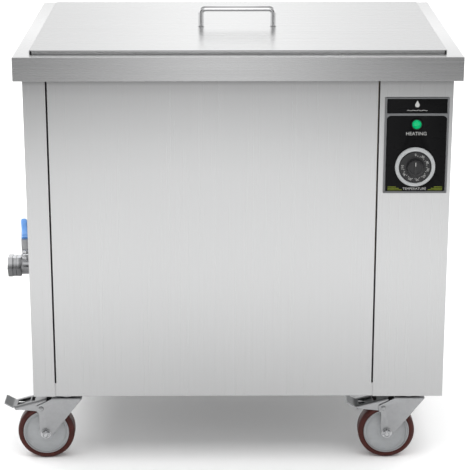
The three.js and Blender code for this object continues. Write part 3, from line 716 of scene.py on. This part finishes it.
def make_control_panel():
    at, size = rear_middle("control_frame")
    x, z = size.x / 2, size.z / 2
    left, right, low, high = RAIL_SIDE - x, x - RAIL_SIDE, RAIL_BOTTOM - z, z - DIVIDER_LOW
    band = rectangle(left, z - DIVIDER_HIGH, right, z - RAIL_TOP, 0.8)
    corners = [(left, low), (right, low), (right, high), (left, high)]
    window = fillet(corners, [0.8, 0.8, 7.0, 7.0], 6)
    rails = to_front(plate(rectangle(-x, -z, x, z, 1.6), 0, size.y, [band, window], edge=0.9))
    piece("panel_frame", rails, FRAME_PLASTIC, "cabinet", at, "control_frame")

    at, size = rear_middle("control_fascia")
    x, z = size.x / 2, size.z / 2
    lamp, dial = ((centre(node) - at) / MM for node in ("lamp_lens", "dial_bezel"))
    holes = [circle(8.5, 32, lamp.x, lamp.z), circle(7.2, 32, dial.x, dial.z)]
    fascia = to_front(plate(rectangle(-x, -z, x, z, 1.0), 0, size.y, holes, 0.25))
    piece("panel_fascia", fascia, BLACK_GLOSS, "cabinet", at, "control_fascia")

    # Generic print: what each control does, and a drop over a wave in the upper band.
    at.z = 0
    front = size.y + 0.05
    words = [moved(lettering("HEATING", 8.2), lamp.x, 598.5, front),
             moved(lettering("TEMPERATURE", 6.0), dial.x, 503.6, front)]
    drop = fillet([(0, 9.5), (-4.6, 1.0), (0, -3.6), (4.6, 1.0)], [0.3, 3.6, 3.9, 3.6], 5)
    crest = [(34 * (i / 24 - 0.5), 0.5 * math.sin(i * math.pi / 3)) for i in range(25)]
    wave = [(x, y + 0.35) for x, y in crest] + [(x, y - 0.35) for x, y in crest[::-1]]
    symbols = [moved(ink(drop), 0, 645.5, front), moved(ink(wave), 0, 638.2, front)]
    printed = to_front(combined(*words, *symbols))
    piece("panel_print", printed, WHITE_INK, "cabinet", at)

    stripes = []
    for side in (-1, 1):
        for row in range(3):
            x0, x1 = sorted((side * (21.8 + 5 * row), side * 45.8))
            stripes.append(moved(ink(rectangle(x0, 0, x1, 1.5)), 0, 501.2 + row * 2.5, front))
    piece("panel_stripes", to_front(combined(*stripes)), GREEN_INK, "cabinet", at)


def make_lamp():
    at, size = rear_middle("lamp_lens")
    depth, radius = size.y, size.x / 2
    ring = [(radius - 1.5, 0), (radius, 0), (radius, 1.6), (radius - 0.5, 2.4), (radius - 1.5, 2.4)]
    piece("lamp_ring", to_front(lathe_ring(ring)), BLACK_PLASTIC, "cabinet", at)
    inner, base = radius - 1.6, 2.2
    profile = [(0, 0), (inner, 0), (inner, base)]
    for i in range(12):  # moulded rings on the dome
        r = inner * (1 - i / 12)
        h = base + (depth - base) * math.sqrt(1 - (r / (inner * 1.02)) ** 2)
        profile += [(r - 0.05, h), (r - inner / 30, h - 0.25)]
    profile.append((0, depth))
    piece("lamp_dome", to_front(lathe(profile)), LENS, "cabinet", at, "lamp_lens")


DIAL_SWEEP = 270.0  # degrees between the first and the last number
DIAL_NUMBERS = ("0", "30", "40", "50", "60", "70", "80", "90", "110")


def make_dial():
    at, size = rear_middle("dial_bezel")
    outer, depth = size.x / 2, size.y
    inner = outer - 6.2
    section = [(inner, 0), (outer, 0), (outer, depth - 1.6), (outer - 1.8, depth), (inner, depth)]
    ring = fillet(section, [0, 0, 0.8, 0.8, 0.9], 3)
    piece("dial_ring", to_front(lathe_ring(ring, 72)), GREY_PLASTIC, "cabinet", at,
          "dial_bezel")

    at, size = rear_middle("temperature_knob")
    skirt, depth, face, flutes, groove = size.x / 2, size.y, 4.0, 16, 0.45
    body = lathe([(3.4, 0), (skirt, 0), (skirt, face - 0.8), (skirt - 0.8, face), (15.5, face),
                  (3.4, face)], 72)
    sides = ((15.6, face - 0.2), (15.0, face + 1.0), (14.3, depth - 1.6), (13.6, depth - 0.4),
             (12.2, depth))
    top = [(10.6, depth), (9.8, depth - 1.0), (0, depth - 1.2)]
    grip = loft([fluted_ring(r - groove, h, flutes, groove) for r, h in sides] + rings_of(top, 96))
    finger = block((-2.3, -10.2, depth - 2.0), (2.3, 10.2, depth - 0.1), 0.9)
    knob = to_front(combined(body, grip, finger))
    piece("knob_body", knob, KNOB_PLASTIC, "dial", at, "temperature_knob")

    marks = [moved(ink(rectangle(-0.6, 0, 0.6, 6.5)), 0, 3.2, depth - 0.06)]
    step = DIAL_SWEEP / (len(DIAL_NUMBERS) - 1)
    for i, text in enumerate(DIAL_NUMBERS):
        marks.append(spun(moved(lettering(text, 5.6), 0, 21.4, face + 0.04), "Z", -step * i))
        for part in (0.33, 0.67) if i < len(DIAL_NUMBERS) - 1 else ():
            tick = moved(ink(rectangle(-0.3, 18.4, 0.3, 20.6)), z=face)
            marks.append(spun(tick, "Z", -step * (i + part)))
    piece("knob_scale", to_front(combined(*marks)), WHITE_INK, "dial", at)


# ---- drain valve
CAP_ACROSS, HEX_ACROSS = 37.3, 35.4
LEVER_SPLAY = 8.0  # degrees between the closed lever and the wall


def thread(radius, start, end, pitch=1.8, depth=0.7):
    """A bore with thread ridges: rings from start to end."""
    steps = int(abs(end - start) / (pitch / 2))
    return [ring_of(radius - (depth if i % 2 else 0), start + (end - start) * i / steps, 48)
            for i in range(steps + 1)]


def hexagon_rings(*pairs):
    return [hexagon_ring(across, height) for across, height in pairs]


def make_valve():
    stem = centre("valve_stem")
    at = Vector((stem.x, stem.y, centre("valve_end_cap").z))

    def reach(node, axis):
        """How far the node goes along an axis from the valve's middle, in millimetres."""
        return [(corner[axis] - at[axis]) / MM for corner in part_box(node)]

    # End cap: a collar and a hexagon with a threaded bore; the pipe runs along Z until it's turned.
    low, high = reach("valve_end_cap", 0)
    collar = low + 9.0
    cap = loft(thread(13.9, high, low) + hexagon_rings(
        (CAP_ACROSS - 1.6, low), (CAP_ACROSS, low + 1.0), (CAP_ACROSS, collar - 0.7),
        (HEX_ACROSS + 0.3, collar), (HEX_ACROSS, collar + 0.3), (HEX_ACROSS, high - 0.3),
        (HEX_ACROSS - 0.6, high)), closed=True)
    piece("valve_cap", to_side(cap), VALVE_ZINC, "cabinet", at, "valve_end_cap")

    low, high = reach("valve_body", 0)
    neck, bore = 16.6, 10.2
    hexagonal = hexagon_rings((HEX_ACROSS - 0.6, low), (HEX_ACROSS, low + 0.3), (HEX_ACROSS, -9.0),
                              (HEX_ACROSS - 1.0, -8.2))
    turned = [(16.8, -7.6), (neck, -5.0), (neck, 9.5), (17.9, 12.8), (18.6, 14.0),
              (18.6, high - 1.2), (17.8, high), (16.9, high), (16.9, high - 9), (bore, high - 9.2)]
    body = loft([ring_of(bore, low, 48)] + hexagonal + rings_of(turned, 48), closed=True)
    top = reach("valve_body", 2)[1]
    boss = lathe_ring([(4.9, 13.0), (12.5, 13.0), (10.4, 15.4), (9.2, 17.0), (9.0, top - 0.7),
                       (8.4, top), (4.9, top)], 40)
    piece("valve_casting", combined(to_side(body), boss), VALVE_ZINC, "cabinet", at,
          "valve_body")

    piece("gland_nut", hexagon(17.0, *reach("valve_gland_nut", 2), 4.9), NUT_ZINC, "cabinet", at,
          "valve_gland_nut")
    low, high = reach("valve_lever_nut", 2)
    bore, washer = 4.3, low + 0.7
    nut = combined(hexagon(12.5, washer, high, bore),
                   lathe_ring([(bore, low), (6.9, low), (6.9, washer), (bore, washer)], 32))
    piece("lever_nut", spun(nut, "Z", LEVER_SPLAY), NUT_ZINC, "drain_lever", at,
          "valve_lever_nut")
    make_lever(at)


def make_lever(at):
    """The lever rises from the stem and runs back along the wall, its far end in a vinyl sleeve."""
    base = (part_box("valve_lever")[0].z - at.z) / MM
    reach, riser, run, rise, thickness = 12.0, 15.6, 64.4, 22.0, 2.5
    knee = Vector((reach + riser, riser))
    end = knee + Vector((run, rise))
    path = fillet([(-8.0, 0), (reach, 0), tuple(knee), tuple(end)], [0, 5, 5, 0], 5, closed=False)
    path = [Vector(point) for point in path]
    strap = []
    for i, point in enumerate(path):
        along = (path[min(i + 1, len(path) - 1)] - path[max(i - 1, 0)]).normalized()
        half = 6.0 if i == 0 else 7.8 if point.x < knee.x + 2 else 4.4
        strap.append([(x, point.x - along.y * t, base + point.y + along.x * t)
                      for x, t in rectangle(-half, 0, half, thickness, 0.7, 2)])
    piece("lever_strap", spun(loft(strap), "Z", LEVER_SPLAY), LEVER_STEEL, "drain_lever", at,
          "valve_lever")

    # The sleeve's sections: distance along the lever from its knee, width and thickness.
    sections = ((5.9, 11.0, 6.6), (6.3, 13.6, 9.4), (8.9, 13.9, 9.8), (9.8, 12.2, 8.4),
                (13.0, 12.0, 8.0), (14.0, 12.7, 8.8), (15.6, 12.7, 8.8), (16.6, 11.9, 8.0),
                (40.0, 11.8, 7.8), (60.0, 12.3, 8.2), (66.0, 11.6, 7.6), (68.6, 9.6, 6.4),
                (69.8, 6.4, 4.4), (70.1, 2.0, 1.6))
    slope = (end - knee).normalized()
    up = Vector((-slope.y, slope.x))
    sleeve = []
    for distance, wide, thick in sections:
        middle = knee + slope * distance + up * thickness / 2
        outline = rectangle(-wide / 2, -thick / 2, wide / 2, thick / 2, min(wide, thick) * 0.42, 5)
        sleeve.append([(x, middle.x + up.x * t, base + middle.y + up.y * t) for x, t in outline])
    piece("lever_sleeve", spun(loft(sleeve), "Z", LEVER_SPLAY), VINYL, "drain_lever",
          at, "valve_grip", 50)


# ---- casters
TRAIL, AXLE_HEIGHT = 38.0, 50.0
FORK_INNER, FORK_OUTER, CROWN_TOP = 20.2, 22.7, 117.0
PIVOT_X, PIVOT_Z = -45, 97  # where the brake pedal turns in the fork


def caster_plate_shape():
    """The bolt-on plate, the ball race under it and the kingpin through both."""
    low, high, race_top = 123.7, 127.7, 6.7
    top = plate(rectangle(-30, -30, 30, 30, 12, 6), low, high, edge=0.6)
    race = lathe_ring([(5.2, 0.4), (18.4, 0.4), (19.8, 1.4), (20.0, 3.4), (18.6, 5.6),
                       (18.2, race_top), (5.2, race_top)], 64)
    pin = lathe([(0, -10.5), (6.5, -10.5), (8.6, -9.1), (9.0, -7.3), (9.0, -3.8), (5.0, -3.5),
                 (5.0, 9.7), (0, 9.7)], 40)
    return combined(top, moved(combined(race, pin), z=CROWN_TOP))


def fork_shape():
    """A channel pressed from one sheet: a flat crown, and two legs that narrow down to the axle."""
    x = -TRAIL
    back, front, top = -26.0, 27.0, CROWN_TOP - 1.2
    foot = [(x + 9.3, AXLE_HEIGHT - 6)] + arc(x, AXLE_HEIGHT, 10.8, -34, -180, 14)
    rear = [(x - 10.8, 84), (x - 11.6, 89), (x - 15, 92), (x - 15, 102)]
    legs = []
    for y in (-FORK_INNER, FORK_OUTER):
        holes = [circle(4.5, 20, x, AXLE_HEIGHT), circle(3.7, 16, PIVOT_X, PIVOT_Z)]
        outline = [(front, top), *foot, *rear, (back, top)]
        leg = plate(outline, 0, FORK_OUTER - FORK_INNER, holes, 0.5)
        legs.append(moved(to_front(leg), y=y))
    half = FORK_OUTER - 0.6
    crown = plate(rectangle(back, -half, front, half, 2.0), -3.0, 0, [circle(6.2, 32)], 0.9)
    cup = lathe_ring([(6.2, -3.2), (15.0, -3.2), (17.0, -3.0), (17.0, -2.8), (6.2, -2.8)])
    return combined(*legs, moved(combined(crown, cup), z=CROWN_TOP))


def axle_shape():
    """The wheel's bolt, with a washer at each side and the nut on the front."""
    seat = FORK_OUTER + 0.3
    washer = [(4.1, 0), (9.0, 0), (9.0, 1.1), (8.6, 1.4), (4.1, 1.4)]
    washers = [moved(on_side(lathe_ring(washer, 40), side), y=side * seat) for side in (-1, 1)]
    bolt = lathe([(0, -28), (4.0, -28), (4.0, 29.6), (3.4, 30.4), (0, 30.4)], 24)
    head = hexagon(13.0, -seat - 6.6, -seat - 1.4)
    dimple = lathe([(0, -seat - 7.0), (3.6, -seat - 7.0), (4.6, -seat - 6.5), (0, -seat - 6.4)], 24)
    collar = lathe_ring([(4.0, 6.0), (5.7, 6.0), (5.4, 7.4), (4.2, 7.6)], 32)
    nut = moved(combined(hexagon(13.0, 1.4, 6.0, 4.0), collar), z=seat)
    return combined(*washers, to_front(combined(bolt, head, dimple, nut)))


def hub_shape():
    """A dished disc between a raised boss and the rim that carries the tyre."""
    half = [(4.9, 17.6), (6.2, 18.4), (11.2, 18.4), (12.6, 17.2), (13.4, 13.0), (15.6, 10.6),
            (19.0, 9.4), (30.0, 8.8), (33.4, 9.6), (35.4, 11.8), (36.2, 14.0), (39.4, 14.2)]
    return to_front(lathe_ring(half + [(r, -h) for r, h in half[::-1]], 72))


def rim_ring_shape():
    """The rolled beads that hold the tyre on both sides."""
    bead = [(37.2, 13.6), (37.6, 15.1), (38.6, 15.7), (40.0, 15.5), (40.6, 14.6), (39.0, 13.6)]
    beads = [lathe_ring([(r, side * h) for r, h in bead], 72) for side in (-1, 1)]
    return to_front(combined(*beads))


def tyre_shape():
    corners = [(40.2, -14.4), (41.4, -15.4), (50, -15.8), (50, 15.8), (41.4, 15.4), (40.2, 14.4)]
    return to_front(lathe_ring(fillet(corners, [0.3, 1.0, 6.0, 6.0, 1.0, 0.3], 6), 96))


def pedal_shape():
    """A pressed channel that slopes up to the fork, with a turned-up toe and two windows."""
    half, corner = 19.5, 3.0
    line = [(-109, 107.6), (-106, 105.9), (-99, 101.9), (-95.2, 99.9), (-92, 99.4), (-88, 100.3),
            (-76, 103.6), (-65, 106.5), (-63, 107.1), (-56.5, 108.9), (-50, 110.6), (-44, 112.2),
            (-38, 113.8), (-36, 114.3)]
    grid = []
    for index, (x, z) in enumerate(line):
        width = half - (1.5 if index == 0 else 0)
        across = [-width + corner, -11.5, 0, 11.5, width - corner]
        if index < 4:  # the toe has no side flanges
            row = [None] * 4 + [(x, y, z) for y in (-width, *across[1:-1], width)] + [None] * 4
        else:
            floor = max(95.6 - 4.4 * (x + 92) / 42 if x > -92 else 96.0, 91.2)
            left = [(x, -width, floor)] + [
                (x, -width + corner - corner * math.sin(a), z - corner + corner * math.cos(a))
                for a in map(math.radians, (90, 60, 30))]
            right = [(x, -y, height) for _, y, height in reversed(left)]
            row = left + [(x, y, z) for y in across] + right
        grid.append(row)

    body = sheet(grid, 1.8, skip=lambda i, j: j in (5, 6) and i in (5, 6, 8))
    shoe = block((-75, -10.5, 0), (-59.5, 10.5, 5.2), 1.0)
    shoe = moved(spun(moved(shoe, x=67), "Y", -15), -67, 0, 97.2)
    pins = []
    for side in (-1, 1):
        pin = lathe([(0, 0), (4.6, 0), (4.4, 1.2), (3.0, 2.1), (0, 2.4)], 28)
        pins.append(moved(on_side(pin, side), PIVOT_X, side * FORK_OUTER, PIVOT_Z))
        core = to_front(lathe([(0, -2), (3.0, -2), (3.0, 3), (0, 3)], 20))
        pins.append(moved(core, PIVOT_X, side * 20.4, PIVOT_Z))
    return combined(body, shoe, *pins)


def window_shade_shape():
    """Painted shade: a near-black plate under the pedal's front window, standing in for the shade
    seen through it.
    """
    return block((-91, -16.5, 93.0), (-70, 16.5, 94.0), 0.3)


CASTER_PIECES = (  # name, shape, look, CAD node, body, whether it's about the axle
    ("top_plate", caster_plate_shape, ZINC, "caster_plate", "cabinet", False),
    ("yoke", fork_shape, ZINC, "fork", "swivel", False),
    ("bolt", axle_shape, NUT_ZINC, "axle_bolt", "swivel", True),
    ("tread", tyre_shape, TYRE, "tyre", "wheel", True),
    ("hub", hub_shape, HUB_PLASTIC, "wheel_hub", "wheel", True),
    ("rim_ring", rim_ring_shape, ZINC, None, "wheel", True),
    # painted shade in the pedal's window
    ("window_shade", window_shade_shape, WINDOW_SHADE_STEEL, None, "pedal", False),
    ("pedal", pedal_shape, ZINC, "brake_pedal", "pedal", False),
)


def make_casters():
    """One mesh is made for each kind of piece, and each caster's object uses it."""
    meshes = {}
    for corner in CORNERS:
        middle = under(f"{corner}_caster_plate")
        axle = middle + Vector((-TRAIL, 0, AXLE_HEIGHT)) * MM
        for name, shape_of, look, node, body, about_axle in CASTER_PIECES:
            if body == "pedal" and not corner.startswith("front"):
                continue
            title = f"{corner}_{name}"
            if name not in meshes:
                meshes[name] = mesh_from(title, shape_of(), look)
            stand(title, meshes[name], body if body == "cabinet" else f"{corner}_{body}",
                  axle if about_axle else middle, node and f"{corner}_{node}")


# ---- fittings inside and behind
def make_rest_plate():
    """The perforated sheet that keeps parts off the tank's floor."""
    low, high = box_in_mm("parts_rest_plate")
    size = high - low
    x, y, top = size.x / 2, size.y / 2, size.z
    pitch, hole = 24.0, 8.0
    columns, rows = int((size.x - 30) // pitch), int((size.y - 40) // pitch)
    holes = [circle(hole, 12, (i - (columns - 1) / 2) * pitch, (j - (rows - 1) / 2) * pitch)
             for i in range(columns) for j in range(rows)]
    top_sheet = plate(rectangle(-x, -y, x, y, 1.0), top - 2, top, holes, 0.3)
    legs = [block((-x, s * y - 1.0 - s, 0), (x, s * y + 1.0 - s, top - 0.4), 0.4) for s in (-1, 1)]
    piece("rest_plate", combined(top_sheet, *legs), TANK_STEEL, "cabinet",
          under("parts_rest_plate", low.z * MM), "parts_rest_plate")


def make_strainer():
    low, high = box_in_mm("drain_strainer")
    radius, depth = (high.x - low.x) / 2, high.z - low.z
    dish = [(0, 0), (radius, 0), (radius, 1.2), (radius - 1.2, 2.0), (radius * 0.75, 2.6),
            (radius * 0.62, depth - 1.4), (radius * 0.5, depth - 0.2), (0, depth)]
    bars = [spun(block((4, -0.8, depth - 2.2), (radius * 0.66, 0.8, depth), 0.3), "Z", 60 * i)
            for i in range(6)]
    piece("strainer_cap", combined(lathe(dish), *bars), POLISHED, "cabinet",
          under("drain_strainer", low.z * MM), "drain_strainer")


def make_electrics():
    low, high = box_in_mm("contactor")
    x, y, z = high - low
    step = z - 20.0
    screw = [(0, 0), (3.2, 0), (3.2, 1.4), (2.6, 2.0), (0, 2.0)]
    case = [block((0, 0, 0), (x, y, step), 1.0), block((6, 12, step - 1), (x - 6, y - 12, z), 1.0)]
    case += [moved(lathe(screw, 20), 9 + i * (x - 18) / 2, side, step - 0.2)
             for side in (4.0, y - 4.0) for i in range(3)]
    piece("contactor_case", combined(*case), NYLON, "cabinet", low * MM, "contactor")

    low, high = box_in_mm("terminal_block")
    x, y, z = high - low
    ways, gap = 5, 1.6
    pitch = (x - 7) / ways
    screw = [(0, 0), (2.6, 0), (2.6, 0.8), (2.1, 1.2), (0, 1.2)]
    strip = [block((0, 0, 0), (x, y, 6), 0.8)]
    for i in range(ways):
        left = 3 + i * pitch
        right = left + pitch - gap
        strip.append(block((left, 5, 5), (right, y - 5, z - 1.2), 0.8))
        strip += [moved(lathe(screw, 20), (left + right) / 2, side, z - 1.3)
                  for side in (10.0, y - 10.0)]
    piece("terminal_strip", combined(*strip), NYLON, "cabinet", low * MM, "terminal_block")


def make_cable_gland():
    """A nylon gland on the back: a hexagon on the sheet, then an open fluted dome nut."""
    low, high = box_in_mm("cable_gland")
    face = box_in_mm("rear_panel")[1].y + 0.3
    inner, hex_end, end, bore = low.y - face, 5.7, high.y - face, 4.2
    barrel = lathe_ring([(bore, inner), (9.6, inner), (9.6, 0.5), (bore, 0.5)], 40)
    fluted = ((9.0, hex_end - 0.2), (9.0, end - 2.8), (8.0, end - 1.0), (6.2, end))
    mouth = rings_of([(4.0, end - 0.4), (4.0, hex_end - 0.2)], 96)
    dome = loft([fluted_ring(r, h, 12, 0.35) for r, h in fluted] + mouth, closed=True)
    shape = combined(barrel, hexagon(24.0, 0, hex_end, bore), dome)
    at = Vector(((low.x + high.x) / 2, face, (low.z + high.z) / 2)) * MM
    piece("gland_body", on_side(shape, 1), BLACK_PLASTIC, "cabinet", at, "cable_gland")


def make_rear_screws():
    """Pan-head screws round the edge of the rear sheet."""
    low, high = box_in_mm("rear_panel")
    inset, pitch = 11.0, (high.z - low.z - 100) / 3
    head = [(0, 0), (4.6, 0), (4.5, 0.8), (3.6, 1.9), (1.6, 2.4), (1.2, 1.5), (0, 1.4)]
    heads = [moved(on_side(lathe(head, 28), 1), x, high.y, low.z + 42 + i * pitch)
             for x in (low.x + inset, high.x - inset) for i in range(4)]
    piece("rear_screws", combined(*heads), NUT_ZINC, "cabinet")


# ---- studio
def make_camera():
    """A long lens a little above the washer, looking down at its front."""
    camera = bpy.data.cameras.new("camera")
    camera.lens = 131.4
    camera.sensor_width = 36.0
    camera.clip_end = 60.0
    made = add_object("camera", camera)
    made.location = (0.0055, -3.0295, 1.2812)
    made.rotation_euler = (math.radians(90 - 17.2055), 0, math.radians(-0.337))
    bpy.context.scene.camera = made


def make_floor():
    """White paint that glows: painted light a step in front of the washer, a brighter glowing strip
    beyond where the paint turns grey, and a faint glow everywhere that lifts the shade under it;
    this shades its front.
    """
    shape = bmesh.new()
    bmesh.ops.create_grid(shape, x_segments=8, y_segments=8, size=9.0)
    mesh = bpy.data.meshes.new("floor")
    shape.to_mesh(mesh)
    shape.free()
    paint = Look("floor_paint_and_glow", (0.9, 0.9, 0.9), 0.9, Specular_IOR_Level=0.0)
    coordinates, split = paint.node("TexCoord"), paint.node("SeparateXYZ")
    paint.link(coordinates.outputs["Object"], split.inputs["Vector"])
    x, y = split.outputs["X"], split.outputs["Y"]
    near = paint.between(y, 0.0, 1.0, -3.6, -1.9)
    lit = paint.between(y, 1.0, 0.0, -1.3, -0.7)
    maths = paint.math
    bell = maths("EXPONENT", maths("MULTIPLY", maths("MULTIPLY", x, x), -6.0))
    far = maths("MULTIPLY", maths("SUBTRACT", 1.0, near), maths("MULTIPLY", bell, 3.2))
    glow = maths("MULTIPLY", maths("MULTIPLY", near, lit), 0.42)
    # painted light: the floor's glow, with a faint glow everywhere that lifts the shade under the
    # washer
    strength = maths("ADD", maths("ADD", far, glow), 0.03)
    paint.link(strength, paint.bsdf.inputs["Emission Strength"])
    paint.link(paint.mixed(near, (0.0, [0.2] * 3), (1.0, [0.9] * 3)),
               paint.bsdf.inputs["Base Color"])
    paint.bsdf.inputs["Emission Color"].default_value = (1, 1, 1, 1)
    mesh.materials.append(paint.material)
    floor = add_object("floor", mesh)


def make_world():
    """A white studio: bright behind and overhead, dimmer in front, brightest on the axis."""
    world = bpy.data.worlds.new("studio")
    bpy.context.scene.world = world
    world.use_nodes = True
    tree = world.node_tree
    background = tree.nodes["Background"]
    coordinates = tree.nodes.new("ShaderNodeTexCoord")
    split = tree.nodes.new("ShaderNodeSeparateXYZ")
    tree.links.new(coordinates.outputs["Generated"], split.inputs["Vector"])
    x, y, z = (split.outputs[axis] for axis in "XYZ")

    def maths(operation, *values):
        return maths_in(tree, operation, *values)

    def ramp(value, start, end, low, high):
        node = tree.nodes.new("ShaderNodeMapRange")
        node.interpolation_type = "SMOOTHSTEP"
        set_inputs(node, From_Min=start, From_Max=end, To_Min=low, To_Max=high)
        tree.links.new(value, node.inputs["Value"])
        return node.outputs["Result"]

    def blend(share, front, back):
        return maths("ADD", maths("MULTIPLY", share, back),
                     maths("MULTIPLY", maths("SUBTRACT", 1.0, share), front))

    behind = ramp(y, -0.80, -0.40, 0.0, 1.0)
    walls = blend(behind, ramp(z, 0.22, 0.45, 0.06, 1.0), ramp(z, 0.40, 0.75, 1.24, 0.38))
    bell = maths("EXPONENT", maths("MULTIPLY", maths("MULTIPLY", x, x), -216.0))
    glow = maths("MULTIPLY", bell, blend(behind, ramp(z, 0.18, 0.34, 3.6, 0.0), 0.36))
    tree.links.new(maths("ADD", walls, glow), background.inputs["Strength"])
    background.inputs["Color"].default_value = (1, 1, 1, 1)


def make_ceiling_light():
    """A soft light for matt surfaces; bright metal mirrors the walls of the studio alone."""
    light = bpy.data.lights.new("ceiling", "AREA")
    light.size, light.energy = 7.0, 300
    made = add_object("ceiling", light)
    made.location = (0, 0.9, 3.2)
    made.visible_glossy = False


def make_studio():
    make_camera()
    make_floor()
    make_world()
    make_ceiling_light()
    view = bpy.context.scene.view_settings
    view.view_transform, view.look = "Standard", "None"


# ---- assembly
make_studio()
keep_cad_nodes()
make_lid()
make_control_panel()
make_lamp()
make_dial()
make_valve()
make_casters()
make_rest_plate()
make_strainer()
make_electrics()
make_cable_gland()
make_rear_screws()
